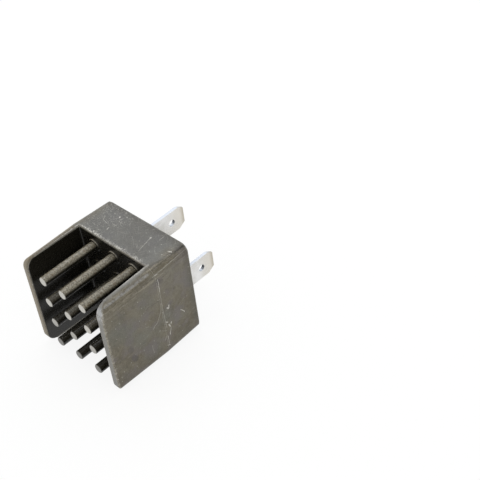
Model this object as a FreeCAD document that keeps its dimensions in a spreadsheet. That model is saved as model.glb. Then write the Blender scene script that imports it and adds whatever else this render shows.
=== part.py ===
import FreeCAD, Part
import os
import Sketcher
from FreeCAD import Placement, Rotation, Vector

# Plug-in solid-state relay in a die-cast heat sink.
# The casting is a shallow cup with a grid of cooling pins and two guard plates on its closed side.
# The open side is closed by a moulded base that carries four flat blades.
# A circuit board stands on the blades, and its power transistor lies on the floor of the cup.
# X runs across the plates, Y along the pins towards the blades, and Z is up.
# The origin is the middle of the rim that seats on the socket, so the cup lies at negative Y.

SIZES = (
    # Casting, outside
    ("width", 28.0),
    ("height", 27.4),
    ("block_depth", 10.8),
    ("corner_radius", 2.5),
    ("block_draft", 0.33),
    ("fin_draft", 0.32),
    # Casting, guard plates
    ("plate_root", 2.66),
    ("plate_tip", 2.06),
    ("plate_top_radius", 3.0),
    ("plate_foot_radius", 2.5),
    ("edge_round", 0.35),
    ("root_fillet", 0.5),
    # Casting, cooling pins
    ("pin_length", 15.5),
    ("pin_diameter", 2.4),
    ("pin_tip_bevel", 0.15),
    ("pin_column_pitch", 6.74),
    ("pin_row_pitch", 6.59),
    ("pin_columns", 3),
    ("pin_rows", 4),
    ("ring_diameter", 3.7),
    ("ring_height", 0.35),
    ("ring_bevel", 0.2),
    # Casting, inside of the cup
    ("rim_wall", 1.4),
    ("ledge", 0.6),
    ("cup_radius", 1.5),
    ("cup_depth", 7.9),
    ("boss_diameter", 4.4),
    # Moulded base
    ("base_recess", 0.5),
    ("base_thickness", 2.0),
    ("base_clearance", 0.05),
    ("groove_width", 0.6),
    ("seal_height", 0.3),
    # Blades
    ("blade_width", 6.3),
    ("blade_thickness", 0.8),
    ("blade_length", 11.1),
    ("blade_bevel_length", 1.7),
    ("blade_bevel_width", 1.1),
    ("blade_edge", 0.15),
    ("blade_hole", 1.8),
    ("blade_hole_setback", 4.1),
    ("tail_width", 2.4),
    ("tail_protrusion", 0.8),
    ("side_blade_inset", 5.6),
    ("side_blade_height", -1.82),
    ("top_blade_inset", 5.72),
    ("foot_blade_inset", 3.68),
    # Circuit board
    ("board_gap", 0.8),
    ("board_thickness", 1.0),
    ("board_clearance", 0.2),
    ("board_hole_margin", 0.05),
    ("driver_hole_diameter", 5.2),
    ("solder_margin", 0.6),
    ("solder_height", 0.6),
    # Power transistor
    ("pad_thickness", 0.25),
    ("transistor_drop", 6.5),
    ("transistor_width", 6.6),
    ("transistor_length", 6.1),
    ("transistor_thickness", 2.3),
    ("transistor_bevel", 0.3),
    ("tab_width", 5.4),
    ("tab_thickness", 0.5),
    ("tab_reach", 1.1),
    ("lead_pitch", 4.56),
    ("lead_width", 0.76),
    ("lead_thickness", 0.5),
    ("lead_reach", 1.0),
    ("lead_rise", 0.5),
    ("lead_clip", 0.4),
    # Transistor clamp and its screw
    ("screw_drop", 4.2),
    ("clamp_width", 4.0),
    ("clamp_thickness", 0.4),
    ("clamp_overlap", 3.6),
    ("screw_diameter", 2.5),
    ("screw_clearance", 0.1),
    ("bore_skin", 1.05),
    ("screw_head_diameter", 4.4),
    ("screw_head_height", 1.1),
    ("recess_diameter", 1.6),
    ("recess_depth", 0.6),
    # Driver chip
    ("chip_across", 6.2),
    ("chip_height", 5.6),
    ("chip_width", 3.9),
    ("chip_length", 4.9),
    ("chip_thickness", 1.5),
    ("chip_standoff", 0.1),
    ("chip_rows", 4),
    ("chip_pitch", 1.27),
    ("chip_lead_width", 0.4),
    ("chip_lead_thickness", 0.2),
    ("chip_lead_reach", 1.05),
    ("chip_lead_foot", 0.6),
    # Other components on the board
    ("diode_across", -6.2),
    ("diode_height", 5.8),
    ("diode_width", 3.6),
    ("diode_length", 4.4),
    ("diode_thickness", 2.2),
    ("resistor_across", -6.6),
    ("resistor_height", -6.4),
    ("resistor_spacing", 2.6),
    ("resistor_length", 3.2),
    ("resistor_width", 1.6),
    ("resistor_thickness", 0.6),
    ("capacitor_across", 6.6),
    ("capacitor_height", -7.6),
    ("capacitor_length", 3.2),
    ("capacitor_width", 2.5),
    ("capacitor_thickness", 1.8),
)


class Size:
    """A length or count that carries its number and the sheet formula it comes from."""

    def __init__(self, number, formula):
        self.number = number
        self.formula = formula

    def __add__(self, other):
        other = as_size(other)
        return Size(self.number + other.number, f"({self.formula} + {other.formula})")

    def __sub__(self, other):
        other = as_size(other)
        return Size(self.number - other.number, f"({self.formula} - {other.formula})")

    def __mul__(self, other):
        other = as_size(other)
        return Size(self.number * other.number, f"({self.formula} * {other.formula})")

    def __truediv__(self, other):
        other = as_size(other)
        return Size(self.number / other.number, f"({self.formula} / {other.formula})")

    def __neg__(self):
        return Size(-self.number, f"(-1 * {self.formula})")


def as_size(value):
    return value if isinstance(value, Size) else Size(float(value), str(value))


class Sheet:
    """The driving dimensions, one spreadsheet row each, read as attributes."""

    def __init__(self, doc):
        self.cells = doc.addObject("Spreadsheet::Sheet", "sizes")
        for row, (alias, number) in enumerate(SIZES, start=1):
            self.cells.set(f"A{row}", alias)
            self.cells.set(f"B{row}", str(number))
            self.cells.setAlias(f"B{row}", alias)
        doc.recompute()

    def __getattr__(self, alias):
        return Size(float(self.cells.get(alias)), f"sizes.{alias}")


doc = FreeCAD.newDocument("plug_in_relay")
size = Sheet(doc)
ZERO = as_size(0)

# How close a point must be to a plane, in millimetres, to count as on it
ON_PLANE = 0.001

# Planes along Y, from the seating rim inwards
BASE_OUTER = -size.base_recess
BASE_INNER = BASE_OUTER - size.base_thickness
BOARD_OUTER = BASE_INNER - size.board_gap
BOARD_INNER = BOARD_OUTER - size.board_thickness
CUP_FLOOR = -size.cup_depth
PAD_TOP = CUP_FLOOR + size.pad_thickness
TRANSISTOR_TOP = PAD_TOP + size.transistor_thickness
CLAMP_TOP = TRANSISTOR_TOP + size.clamp_thickness
PIN_WALL = -size.block_depth
FRONT = PIN_WALL - size.pin_length
BORE_END = PIN_WALL + size.bore_skin

# Heights of the top blade, of the clamp screw below it, and of the transistor below the screw
TOP_BLADE_UP = size.height / 2 - size.top_blade_inset
SCREW_UP = TOP_BLADE_UP - size.screw_drop
TRANSISTOR_UP = SCREW_UP - size.transistor_drop

# Openings of the cup
SEAT_WIDTH = size.width - size.block_draft * 2 - size.rim_wall * 2
SEAT_HEIGHT = size.height - size.block_draft * 2 - size.rim_wall * 2
WELL_WIDTH = SEAT_WIDTH - size.ledge * 2
WELL_HEIGHT = SEAT_HEIGHT - size.ledge * 2
WELL_RADIUS = size.cup_radius - size.ledge / 2
GROOVE_RADIUS = size.cup_radius - size.groove_width


def bind(thing, path, value):
    """Ties one property to the sheet."""
    thing.setExpression(path, as_size(value).formula)


def new_body(name):
    body = doc.addObject("PartDesign::Body", name)
    body.Label = name
    return body


def sketch_on(body, role, name, offset=0):
    """A sketch on one of the body's own planes, moved along the plane's normal."""
    plane = next(item for item in body.Origin.OriginFeatures if item.Role == role)
    sketch = body.newObject("Sketcher::SketchObject", name)
    sketch.AttachmentSupport = (plane, [""])
    sketch.MapMode = "FlatFace"
    bind(sketch, "AttachmentOffset.Base.z", offset)
    return sketch


def facing(body, name, level=ZERO):
    """A sketch across the pins, with X to the right and Z up, at one level along Y."""
    return sketch_on(body, "XZ_Plane", name, -level)


def fix_point(sketch, element, end, spot):
    """Holds one point of a sketch at a place that the sheet gives."""
    for kind, axis, coordinate in zip(("DistanceX", "DistanceY"), (-2, -1), spot):
        if as_size(coordinate).number == 0:
            sketch.addConstraint(Sketcher.Constraint("PointOnObject", element, end, axis))
            continue
        number = as_size(coordinate).number
        index = sketch.addConstraint(Sketcher.Constraint(kind, -1, 1, element, end, number))
        sketch.setExpression(f"Constraints[{index}]", coordinate.formula)


def flat(spot):
    return Vector(as_size(spot[0]).number, as_size(spot[1]).number, 0)


def arc_side(sketch, start, end, centre, radius):
    """Adds the short arc from start to end and says which of its ends is which."""
    spoke_a = flat(start) - flat(centre)
    spoke_b = flat(end) - flat(centre)
    turns_left = spoke_a.cross(spoke_b).z > 0
    first, last = (spoke_a, spoke_b) if turns_left else (spoke_b, spoke_a)
    middle = flat(centre) + (first + last).normalize() * radius.number
    arc = Part.Arc(flat(centre) + first, middle, flat(centre) + last)
    element = sketch.addGeometry(arc, False)
    index = sketch.addConstraint(Sketcher.Constraint("Radius", element, radius.number))
    sketch.setExpression(f"Constraints[{index}]", radius.formula)
    return (element, 1, 2) if turns_left else (element, 2, 1)


def outline(sketch, corners, arcs=None):
    """Draws a closed outline; arcs gives the centre and radius of each side that is round."""
    sides = []
    for side, corner in enumerate(corners):
        after = corners[(side + 1) % len(corners)]
        if arcs and side in arcs:
            sides.append(arc_side(sketch, corner, after, *arcs[side]))
            continue
        element = sketch.addGeometry(Part.LineSegment(flat(corner), flat(after)), False)
        sides.append((element, 1, 2))
    for side, (element, start, end) in enumerate(sides):
        after = sides[(side + 1) % len(sides)]
        sketch.addConstraint(Sketcher.Constraint("Coincident", element, end, after[0], after[1]))
        fix_point(sketch, element, start, corners[side])


def rectangle(sketch, wide, high, across=ZERO, up=ZERO):
    right, left = across + wide / 2, across - wide / 2
    top, foot = up + high / 2, up - high / 2
    outline(sketch, [(left, foot), (right, foot), (right, top), (left, top)])


def rounded_rectangle(sketch, wide, high, radius, across=ZERO, up=ZERO):
    right, left = across + wide / 2, across - wide / 2
    top, foot = up + high / 2, up - high / 2
    corners = [
        (left + radius, foot),
        (right - radius, foot),
        (right, foot + radius),
        (right, top - radius),
        (right - radius, top),
        (left + radius, top),
        (left, top - radius),
        (left, foot + radius),
    ]
    arcs = {
        1: ((right - radius, foot + radius), radius),
        3: ((right - radius, top - radius), radius),
        5: ((left + radius, top - radius), radius),
        7: ((left + radius, foot + radius), radius),
    }
    outline(sketch, corners, arcs)


def circle(sketch, diameter, across=ZERO, up=ZERO):
    ring = Part.Circle(flat((across, up)), Vector(0, 0, 1), diameter.number / 2)
    element = sketch.addGeometry(ring, False)
    index = sketch.addConstraint(Sketcher.Constraint("Diameter", element, diameter.number))
    sketch.setExpression(f"Constraints[{index}]", diameter.formula)
    fix_point(sketch, element, 3, (across, up))


def sweep_sketch(kind, body, sketch, name, length, away, taper):
    feature = body.newObject(kind, name)
    feature.Profile = sketch
    bind(feature, "Length", length)
    feature.Reversed = away
    if taper:
        feature.setExpression("TaperAngle", taper)
    sketch.Visibility = False
    return feature


def pad(body, sketch, name, length, back=False, taper=None):
    """Grows a sketch along its normal, or the other way when back is set."""
    return sweep_sketch("PartDesign::Pad", body, sketch, name, length, back, taper)


def pocket(body, sketch, name, length, along=False, taper=None):
    """Cuts a sketch against its normal, or along it when along is set."""
    return sweep_sketch("PartDesign::Pocket", body, sketch, name, length, along, taper)


def box(name, low, high):
    """A block between two corners, each a triple of sizes."""
    block = doc.addObject("Part::Box", name)
    for edge, axis, start, end in zip(("Length", "Width", "Height"), "xyz", low, high):
        bind(block, edge, as_size(end) - start)
        bind(block, f"Placement.Base.{axis}", start)
    return block


def join(name, pieces):
    """Fuses pieces that are one metal part."""
    fused = doc.addObject("Part::MultiFuse", name)
    fused.Shapes = pieces
    return fused


def group(name, pieces):
    """Keeps separate like pieces together as one sub-part."""
    together = doc.addObject("Part::Compound", name)
    together.Label = name
    together.Links = pieces
    return together


def edges_where(shape, test):
    """The names of the edges whose every sampled point passes a test."""
    names = []
    for number, edge in enumerate(shape.Edges, start=1):
        points = edge.discretize(5)
        if all(test(point) for point in points):
            names.append(f"Edge{number}")
    return names


def rounded_corner(body, name, front, level, radius, sign, length):
    """Rounds an edge that runs along X, at the top or at the foot of what ends at front."""
    margin = size.corner_radius
    centre_y = front + radius
    centre_z = (level - radius) * sign
    far_z = (level + margin) * sign
    corners = [
        (front, centre_z),
        (centre_y, level * sign),
        (centre_y, far_z),
        (front - margin, far_z),
        (front - margin, centre_z),
    ]
    sketch = sketch_on(body, "YZ_Plane", f"{name}_outline")
    outline(sketch, corners, {0: ((centre_y, centre_z), radius)})
    cut = pocket(body, sketch, name, length)
    cut.SideType = "Symmetric"


def plate_corner(body, name, radius, sign):
    """Rounds the front corners of both guard plates, at their top or at their foot."""
    level = size.height / 2 - size.fin_draft * (size.pin_length - radius) / size.pin_length
    rounded_corner(body, name, FRONT, level, radius, sign, size.width * 2)


def cooling_pins(body):
    """One turned pin with a raised ring at its root, repeated in a grid."""
    first_across = -size.pin_column_pitch * (size.pin_columns - 1) / 2
    first_up = size.pin_row_pitch * (size.pin_rows - 1) / 2
    sketch = sketch_on(body, "YZ_Plane", "pin_profile", first_across)
    bind(sketch, "AttachmentOffset.Base.y", first_up)
    ring = size.ring_diameter / 2
    pin_radius = size.pin_diameter / 2
    ring_face = PIN_WALL - size.ring_height
    outline(sketch, [
        (PIN_WALL, ZERO),
        (PIN_WALL, ring),
        (ring_face, ring - size.ring_bevel),
        (ring_face, pin_radius),
        (FRONT + size.pin_tip_bevel, pin_radius),
        (FRONT, pin_radius - size.pin_tip_bevel),
        (FRONT, ZERO),
    ])
    pin = body.newObject("PartDesign::Revolution", "pin")
    pin.Profile = sketch
    pin.ReferenceAxis = (sketch, ["H_Axis"])
    pin.Angle = 360
    sketch.Visibility = False
    doc.recompute()
    grid = body.newObject("PartDesign::LinearPattern", "pin_grid")
    grid.Originals = [pin]
    axes = {item.Role: item for item in body.Origin.OriginFeatures}
    grid.Direction = (axes["X_Axis"], [""])
    bind(grid, "Length", size.pin_column_pitch * (size.pin_columns - 1))
    bind(grid, "Occurrences", size.pin_columns)
    grid.Direction2 = (axes["Z_Axis"], [""])
    grid.Reversed2 = True
    bind(grid, "Length2", size.pin_row_pitch * (size.pin_rows - 1))
    bind(grid, "Occurrences2", size.pin_rows)
    doc.recompute()
    grid.Spacings2 = [-1.0] * (int(size.pin_rows.number) - 1)
    body.Tip = grid


def heat_sink_housing():
    """The casting: drafted block and plates, open channel, cup for the electronics, pins."""
    body = new_body("heat_sink_housing")
    parting = facing(body, "parting_outline", PIN_WALL)
    rounded_rectangle(parting, size.width, size.height, size.corner_radius)
    pad(body, parting, "block", size.block_depth, back=True,
        taper="-atan(sizes.block_draft / sizes.block_depth)")
    front_half = facing(body, "plate_outline", PIN_WALL)
    rounded_rectangle(front_half, size.width, size.height, size.corner_radius)
    pad(body, front_half, "plates", size.pin_length,
        taper="-atan(sizes.fin_draft / sizes.pin_length)")

    root_half = size.width / 2 - size.plate_root
    tip_half = size.width / 2 - size.fin_draft - size.plate_tip
    channel = sketch_on(body, "XY_Plane", "channel_outline")
    outline(channel, [
        (-root_half, PIN_WALL),
        (-tip_half, FRONT),
        (tip_half, FRONT),
        (root_half, PIN_WALL),
    ])
    channel_cut = pocket(body, channel, "channel", size.height * 2)
    channel_cut.SideType = "Symmetric"
    doc.recompute()
    wall = PIN_WALL.number
    roots = edges_where(body.Shape, lambda spot: abs(spot.y - wall) < ON_PLANE
                        and abs(abs(spot.x) - root_half.number) < ON_PLANE)
    cut_metal = body.Tip
    fillet = body.newObject("PartDesign::Fillet", "plate_roots")
    fillet.Base = (cut_metal, roots)
    bind(fillet, "Radius", size.root_fillet)
    plate_corner(body, "plate_top_corners", size.plate_top_radius, 1)
    plate_corner(body, "plate_foot_corners", size.plate_foot_radius, -1)
    between = root_half * 2
    rounded_corner(body, "wall_top_edge", PIN_WALL, size.height / 2, size.edge_round, 1, between)
    rounded_corner(body, "wall_foot_edge", PIN_WALL, size.height / 2, size.edge_round, -1, between)

    seat = facing(body, "seat_outline")
    rounded_rectangle(seat, SEAT_WIDTH, SEAT_HEIGHT, size.cup_radius)
    pocket(body, seat, "seat", -BASE_INNER, along=True)
    well = facing(body, "well_outline", BASE_INNER)
    rounded_rectangle(well, WELL_WIDTH, WELL_HEIGHT, WELL_RADIUS)
    pocket(body, well, "well", BASE_INNER - CUP_FLOOR, along=True)
    boss = facing(body, "boss_outline", CUP_FLOOR)
    circle(boss, size.boss_diameter, up=SCREW_UP)
    pad(body, boss, "boss", TRANSISTOR_TOP - CUP_FLOOR, back=True)
    bore = facing(body, "screw_bore_outline", TRANSISTOR_TOP)
    circle(bore, size.screw_diameter, up=SCREW_UP)
    pocket(body, bore, "screw_bore", TRANSISTOR_TOP - BORE_END, along=True)
    doc.recompute()
    round_edges(body)
    cooling_pins(body)
    return body


def round_edges(body):
    """Rounds the cast edges at the front of the plates and bevels the seating rim."""
    front = FRONT.number

    def at_front(point):
        return abs(point.y - front) < ON_PLANE

    def on_rim(point):
        inside = abs(point.x) < (size.width / 2 - size.rim_wall).number
        inside = inside and abs(point.z) < (size.height / 2 - size.rim_wall).number
        return abs(point.y) < ON_PLANE and not inside

    for kind, name, test, amount in (
        ("PartDesign::Fillet", "front_edges", at_front, "Radius"),
        ("PartDesign::Chamfer", "rim_bevel", on_rim, "Size"),
    ):
        cast = body.Tip
        edges = edges_where(cast.Shape, test)
        dressing = body.newObject(kind, name)
        dressing.Base = (cast, edges)
        bind(dressing, amount, size.edge_round)
        doc.recompute()


def blade_places():
    """Name, place across and up, and turn about Y of each blade."""
    aside = size.width / 2 - size.side_blade_inset
    return (
        ("supply_blade", ZERO, TOP_BLADE_UP, 0),
        ("control_blade", aside, size.side_blade_height, 0),
        ("ground_blade", -aside, size.side_blade_height, 0),
        ("load_blade", ZERO, size.foot_blade_inset - size.height / 2, 90),
    )


def blade(name, across, up, turn):
    """A flat blade stamped from strip, with a narrow tail for the board."""
    body = new_body(name)
    half, tail = size.blade_width / 2, size.tail_width / 2
    tip = size.blade_length
    shoulder = tip - size.blade_bevel_length
    tail_end = BOARD_INNER - size.tail_protrusion
    sketch = sketch_on(body, "YZ_Plane", f"{name}_outline")
    outline(sketch, [
        (tail_end, -tail),
        (BOARD_OUTER, -tail),
        (BOARD_OUTER, -half),
        (shoulder, -half),
        (tip, size.blade_bevel_width - half),
        (tip, half - size.blade_bevel_width),
        (shoulder, half),
        (BOARD_OUTER, half),
        (BOARD_OUTER, tail),
        (tail_end, tail),
    ])
    circle(sketch, size.blade_hole, across=tip - size.blade_hole_setback)
    strip = pad(body, sketch, f"{name}_strip", size.blade_thickness)
    strip.SideType = "Symmetric"
    doc.recompute()
    near_tip = (shoulder - size.blade_edge).number
    flanks = edges_where(body.Shape, lambda point: point.y > near_tip and abs(point.x) > ON_PLANE)
    lead_in = body.newObject("PartDesign::Chamfer", f"{name}_lead_in")
    lead_in.Base = (strip, flanks)
    bind(lead_in, "Size", size.blade_edge)
    body.Placement = Placement(Vector(0, 0, 0), Rotation(Vector(0, 1, 0), turn))
    bind(body, "Placement.Base.x", across)
    bind(body, "Placement.Base.z", up)
    return body


def across_blade(turn, along_width, along_thickness):
    """Sizes along X and Z of something that lies round a blade."""
    if turn:
        return along_width, along_thickness
    return along_thickness, along_width


def base_plate():
    """The moulded plate that closes the cup and holds the blades."""
    body = new_body("base_plate")
    gap = size.base_clearance * 2
    plate = facing(body, "plate_outline", BASE_OUTER)
    rounded_rectangle(plate, SEAT_WIDTH - gap, SEAT_HEIGHT - gap, size.cup_radius)
    pad(body, plate, "plate", size.base_thickness)
    panel = facing(body, "panel_outline", BASE_OUTER)
    inset = size.groove_width * 2
    rounded_rectangle(panel, SEAT_WIDTH - inset, SEAT_HEIGHT - inset, GROOVE_RADIUS)
    pad(body, panel, "panel", size.base_recess, back=True)
    slots = facing(body, "slot_outlines")
    for _, across, up, turn in blade_places():
        wide, high = across_blade(turn, size.blade_width, size.blade_thickness)
        rectangle(slots, wide, high, across, up)
    pocket(body, slots, "slots", -BASE_INNER, along=True)
    return body


def sealing_bead():
    """The resin bead in the groove between the base plate and the rim."""
    body = new_body("sealing_bead")
    ring = facing(body, "bead_outline", BASE_OUTER)
    rounded_rectangle(ring, SEAT_WIDTH, SEAT_HEIGHT, size.cup_radius)
    inset = size.groove_width * 2
    rounded_rectangle(ring, SEAT_WIDTH - inset, SEAT_HEIGHT - inset, GROOVE_RADIUS)
    pad(body, ring, "bead", size.seal_height, back=True)
    return body


def circuit_board():
    """The board, with slots for the blade tails and a hole over the clamp screw."""
    body = new_body("circuit_board")
    gap = size.board_clearance * 2
    board = facing(body, "board_outline", BOARD_OUTER)
    rectangle(board, WELL_WIDTH - gap - size.cup_radius, WELL_HEIGHT - gap)
    pad(body, board, "board", size.board_thickness)
    holes = facing(body, "hole_outlines", BOARD_OUTER)
    margin = size.board_hole_margin * 2
    for _, across, up, turn in blade_places():
        wide, high = across_blade(turn, size.tail_width + margin, size.blade_thickness + margin)
        rectangle(holes, wide, high, across, up)
    circle(holes, size.driver_hole_diameter, up=SCREW_UP)
    lead_foot = TRANSISTOR_UP - size.transistor_length / 2 - size.lead_reach
    for side in (-1, 1):
        rectangle(holes, size.lead_width + margin, size.lead_thickness + margin,
                  size.lead_pitch * side / 2, lead_foot + size.lead_thickness / 2)
    pocket(body, holes, "holes", size.board_thickness, along=True)
    return body


def solder_joints():
    """A cone of solder round each blade tail, on the inner side of the board."""
    joints = []
    for name, across, up, turn in blade_places():
        margin = size.solder_margin * 2
        wide, high = across_blade(turn, size.tail_width, size.blade_thickness)
        heap = doc.addObject("Part::Wedge", f"{name}_solder")
        for prefix, low, high_end, spread, middle in (
            ("X", "min", "max", wide, across),
            ("Z", "min", "max", high, up),
        ):
            bind(heap, f"{prefix}{low}", middle - (spread + size.solder_margin / 2) / 2)
            bind(heap, f"{prefix}{high_end}", middle + (spread + size.solder_margin / 2) / 2)
            bind(heap, f"{prefix}2{low}", middle - (spread + margin) / 2)
            bind(heap, f"{prefix}2{high_end}", middle + (spread + margin) / 2)
        bind(heap, "Ymin", BOARD_INNER - size.solder_height)
        bind(heap, "Ymax", BOARD_INNER)
        tail = box(f"{name}_tail_space",
                   (across - wide / 2, BOARD_INNER - size.solder_height * 2, up - high / 2),
                   (across + wide / 2, BOARD_OUTER, up + high / 2))
        joint = doc.addObject("Part::Cut", f"{name}_joint")
        joint.Base = heap
        joint.Tool = tail
        joints.append(joint)
    return group("solder_joints", joints)


def power_transistor():
    """Moulded body, copper tab on the floor of the cup, and two bent leads."""
    foot = TRANSISTOR_UP - size.transistor_length / 2
    top = TRANSISTOR_UP + size.transistor_length / 2
    half = size.transistor_width / 2
    whole = box("moulding_block", (-half, PAD_TOP, foot), (half, TRANSISTOR_TOP, top))
    tab_half = size.tab_width / 2
    tab_foot = foot + size.tab_reach
    tab_space = box("tab_space", (-tab_half, PAD_TOP, tab_foot),
                    (tab_half, PAD_TOP + size.tab_thickness, top + size.tab_reach))
    cut = doc.addObject("Part::Cut", "moulding_over_tab")
    cut.Base = whole
    cut.Tool = tab_space
    doc.recompute()
    moulding = doc.addObject("Part::Chamfer", "power_transistor_body")
    moulding.Label = "power_transistor_body"
    moulding.Base = cut
    level = TRANSISTOR_TOP.number
    names = edges_where(cut.Shape, lambda point: abs(point.y - level) < ON_PLANE)
    width = size.transistor_bevel.number
    moulding.Edges = [(int(name[4:]), width, width) for name in names]

    tab = box("power_transistor_tab", (-tab_half, PAD_TOP, tab_foot),
              (tab_half, PAD_TOP + size.tab_thickness, top + size.tab_reach))
    tab.Label = "power_transistor_tab"
    leads = []
    low = PAD_TOP + size.tab_thickness + size.lead_rise
    lead_end = foot - size.lead_reach
    for name, side in (("gate", -1), ("source", 1)):
        left = size.lead_pitch * side / 2 - size.lead_width / 2
        right = left + size.lead_width
        run = box(f"{name}_lead_run", (left, low, lead_end),
                  (right, low + size.lead_thickness, foot))
        post = box(f"{name}_lead_post", (left, low, lead_end),
                   (right, BOARD_OUTER + size.lead_clip, lead_end + size.lead_thickness))
        leads.append(join(f"{name}_lead", [run, post]))
    group("power_transistor_leads", leads)
    return moulding


def thermal_pad():
    """The insulating pad between the tab and the casting."""
    half = size.transistor_width / 2
    foot = TRANSISTOR_UP - size.transistor_length / 2
    top = TRANSISTOR_UP + size.transistor_length / 2 + size.tab_reach
    sheet = box("thermal_pad", (-half, CUP_FLOOR, foot), (half, PAD_TOP, top))
    sheet.Label = "thermal_pad"
    return sheet


def transistor_clamp():
    """The spring strip that presses the transistor down, held at its round end."""
    body = new_body("transistor_clamp")
    half = size.clamp_width / 2
    round_end = SCREW_UP
    far_end = TRANSISTOR_UP + size.transistor_length / 2 - size.clamp_overlap
    sketch = facing(body, "strip_outline", TRANSISTOR_TOP)
    outline(
        sketch,
        [(-half, far_end), (half, far_end), (half, round_end),
         (ZERO, round_end + half), (-half, round_end)],
        {2: ((ZERO, round_end), half), 3: ((ZERO, round_end), half)},
    )
    circle(sketch, size.screw_diameter + size.screw_clearance, up=round_end)
    pad(body, sketch, "strip", size.clamp_thickness, back=True)
    return body


def clamp_screw():
    """The screw that holds the clamp in the boss, with a round driver recess."""
    body = new_body("clamp_screw")
    head = facing(body, "head_outline", CLAMP_TOP)
    circle(head, size.screw_head_diameter, up=SCREW_UP)
    pad(body, head, "head", size.screw_head_height, back=True)
    shank = facing(body, "shank_outline", CLAMP_TOP)
    circle(shank, size.screw_diameter, up=SCREW_UP)
    pad(body, shank, "shank", CLAMP_TOP - BORE_END - size.screw_clearance)
    recess = facing(body, "recess_outline", CLAMP_TOP + size.screw_head_height)
    circle(recess, size.recess_diameter, up=SCREW_UP)
    pocket(body, recess, "recess", size.recess_depth, along=True)
    return body


def driver_chip():
    """The driver chip on the inner side of the board, with four bent leads on each side."""
    half = size.chip_width / 2
    face = BOARD_INNER - size.chip_standoff
    foot = size.chip_height - size.chip_length / 2
    chip = box("driver_chip_body",
               (size.chip_across - half, face - size.chip_thickness, foot),
               (size.chip_across + half, face, foot + size.chip_length))
    chip.Label = "driver_chip_body"
    leads = []
    thick = size.chip_lead_thickness
    middle = face - size.chip_thickness / 2
    rows = int(size.chip_rows.number)
    for side in (-1, 1):
        root = size.chip_across + half * side
        knee = root + (size.chip_lead_reach - size.chip_lead_foot) * side
        toe = root + size.chip_lead_reach * side
        for row in range(rows):
            step = row - (rows - 1) / 2
            low = size.chip_height + size.chip_pitch * step - size.chip_lead_width / 2
            high = low + size.chip_lead_width
            tag = f"chip_lead_{'left' if side < 0 else 'right'}_{row + 1}"
            spans = {
                "shoulder": (root, knee + thick * side, middle - thick, middle),
                "riser": (knee, knee + thick * side, middle - thick, BOARD_INNER),
                "foot": (knee, toe, BOARD_INNER - thick, BOARD_INNER),
            }
            bars = []
            for part, (start, end, near, far) in spans.items():
                left, right = (start, end) if side > 0 else (end, start)
                bars.append(box(f"{tag}_{part}", (left, near, low), (right, far, high)))
            leads.append(join(tag, bars))
    group("driver_chip_leads", leads)
    return chip


def board_component(name, across, up, wide, high, thick):
    """A flat component soldered to the inner side of the board."""
    chip = box(name, (across - wide / 2, BOARD_INNER - thick, up - high / 2),
               (across + wide / 2, BOARD_INNER, up + high / 2))
    chip.Label = name
    return chip


def board_components():
    board_component("suppression_diode", size.diode_across, size.diode_height,
                    size.diode_width, size.diode_length, size.diode_thickness)
    for number, name in enumerate(("gate_resistor", "bias_resistor")):
        board_component(name, size.resistor_across,
                        size.resistor_height - size.resistor_spacing * number,
                        size.resistor_length, size.resistor_width, size.resistor_thickness)
    board_component("filter_capacitor", size.capacitor_across, size.capacitor_height,
                    size.capacitor_length, size.capacitor_width, size.capacitor_thickness)


def check_document():
    """Stops if a feature failed, or if a cut or a pad changed nothing."""
    for item in doc.Objects:
        if "Invalid" in item.State or "Error" in item.State:
            raise RuntimeError(f"{item.Name} failed: {item.State}")
        before = getattr(item, "BaseFeature", None)
        if before is None or not item.isDerivedFrom("PartDesign::Feature"):
            continue
        change = item.Shape.Volume - before.Shape.Volume
        if item.TypeId == "PartDesign::Pocket" and change >= 0:
            raise RuntimeError(f"{item.Name} cuts nothing")
        if item.TypeId == "PartDesign::Pad" and change <= 0:
            raise RuntimeError(f"{item.Name} adds nothing")


NODES = (
    "heat_sink_housing",
    "base_plate",
    "sealing_bead",
    "supply_blade",
    "control_blade",
    "ground_blade",
    "load_blade",
    "circuit_board",
    "solder_joints",
    "power_transistor_body",
    "power_transistor_tab",
    "power_transistor_leads",
    "thermal_pad",
    "transistor_clamp",
    "clamp_screw",
    "driver_chip_body",
    "driver_chip_leads",
    "suppression_diode",
    "gate_resistor",
    "bias_resistor",
    "filter_capacitor",
)


def write_parts():
    os.makedirs("parts", exist_ok=True)
    shapes = {}
    for name in NODES:
        node = doc.getObjectsByLabel(name)[0]
        shape = node.Shape
        if shape.isNull() or not shape.isValid() or not shape.Solids:
            raise RuntimeError(f"{name} has no valid solid")
        shapes[name] = shape
    for name, shape in shapes.items():
        shape.exportStep(f"parts/{name}.step")
        print(name, len(shape.Solids), "solids", round(shape.Volume, 2), "mm3")


def main():
    heat_sink_housing()
    base_plate()
    sealing_bead()
    for place in blade_places():
        blade(*place)
    circuit_board()
    solder_joints()
    power_transistor()
    thermal_pad()
    transistor_clamp()
    clamp_screw()
    driver_chip()
    board_components()
    doc.recompute()
    check_document()
    write_parts()


main()
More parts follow.
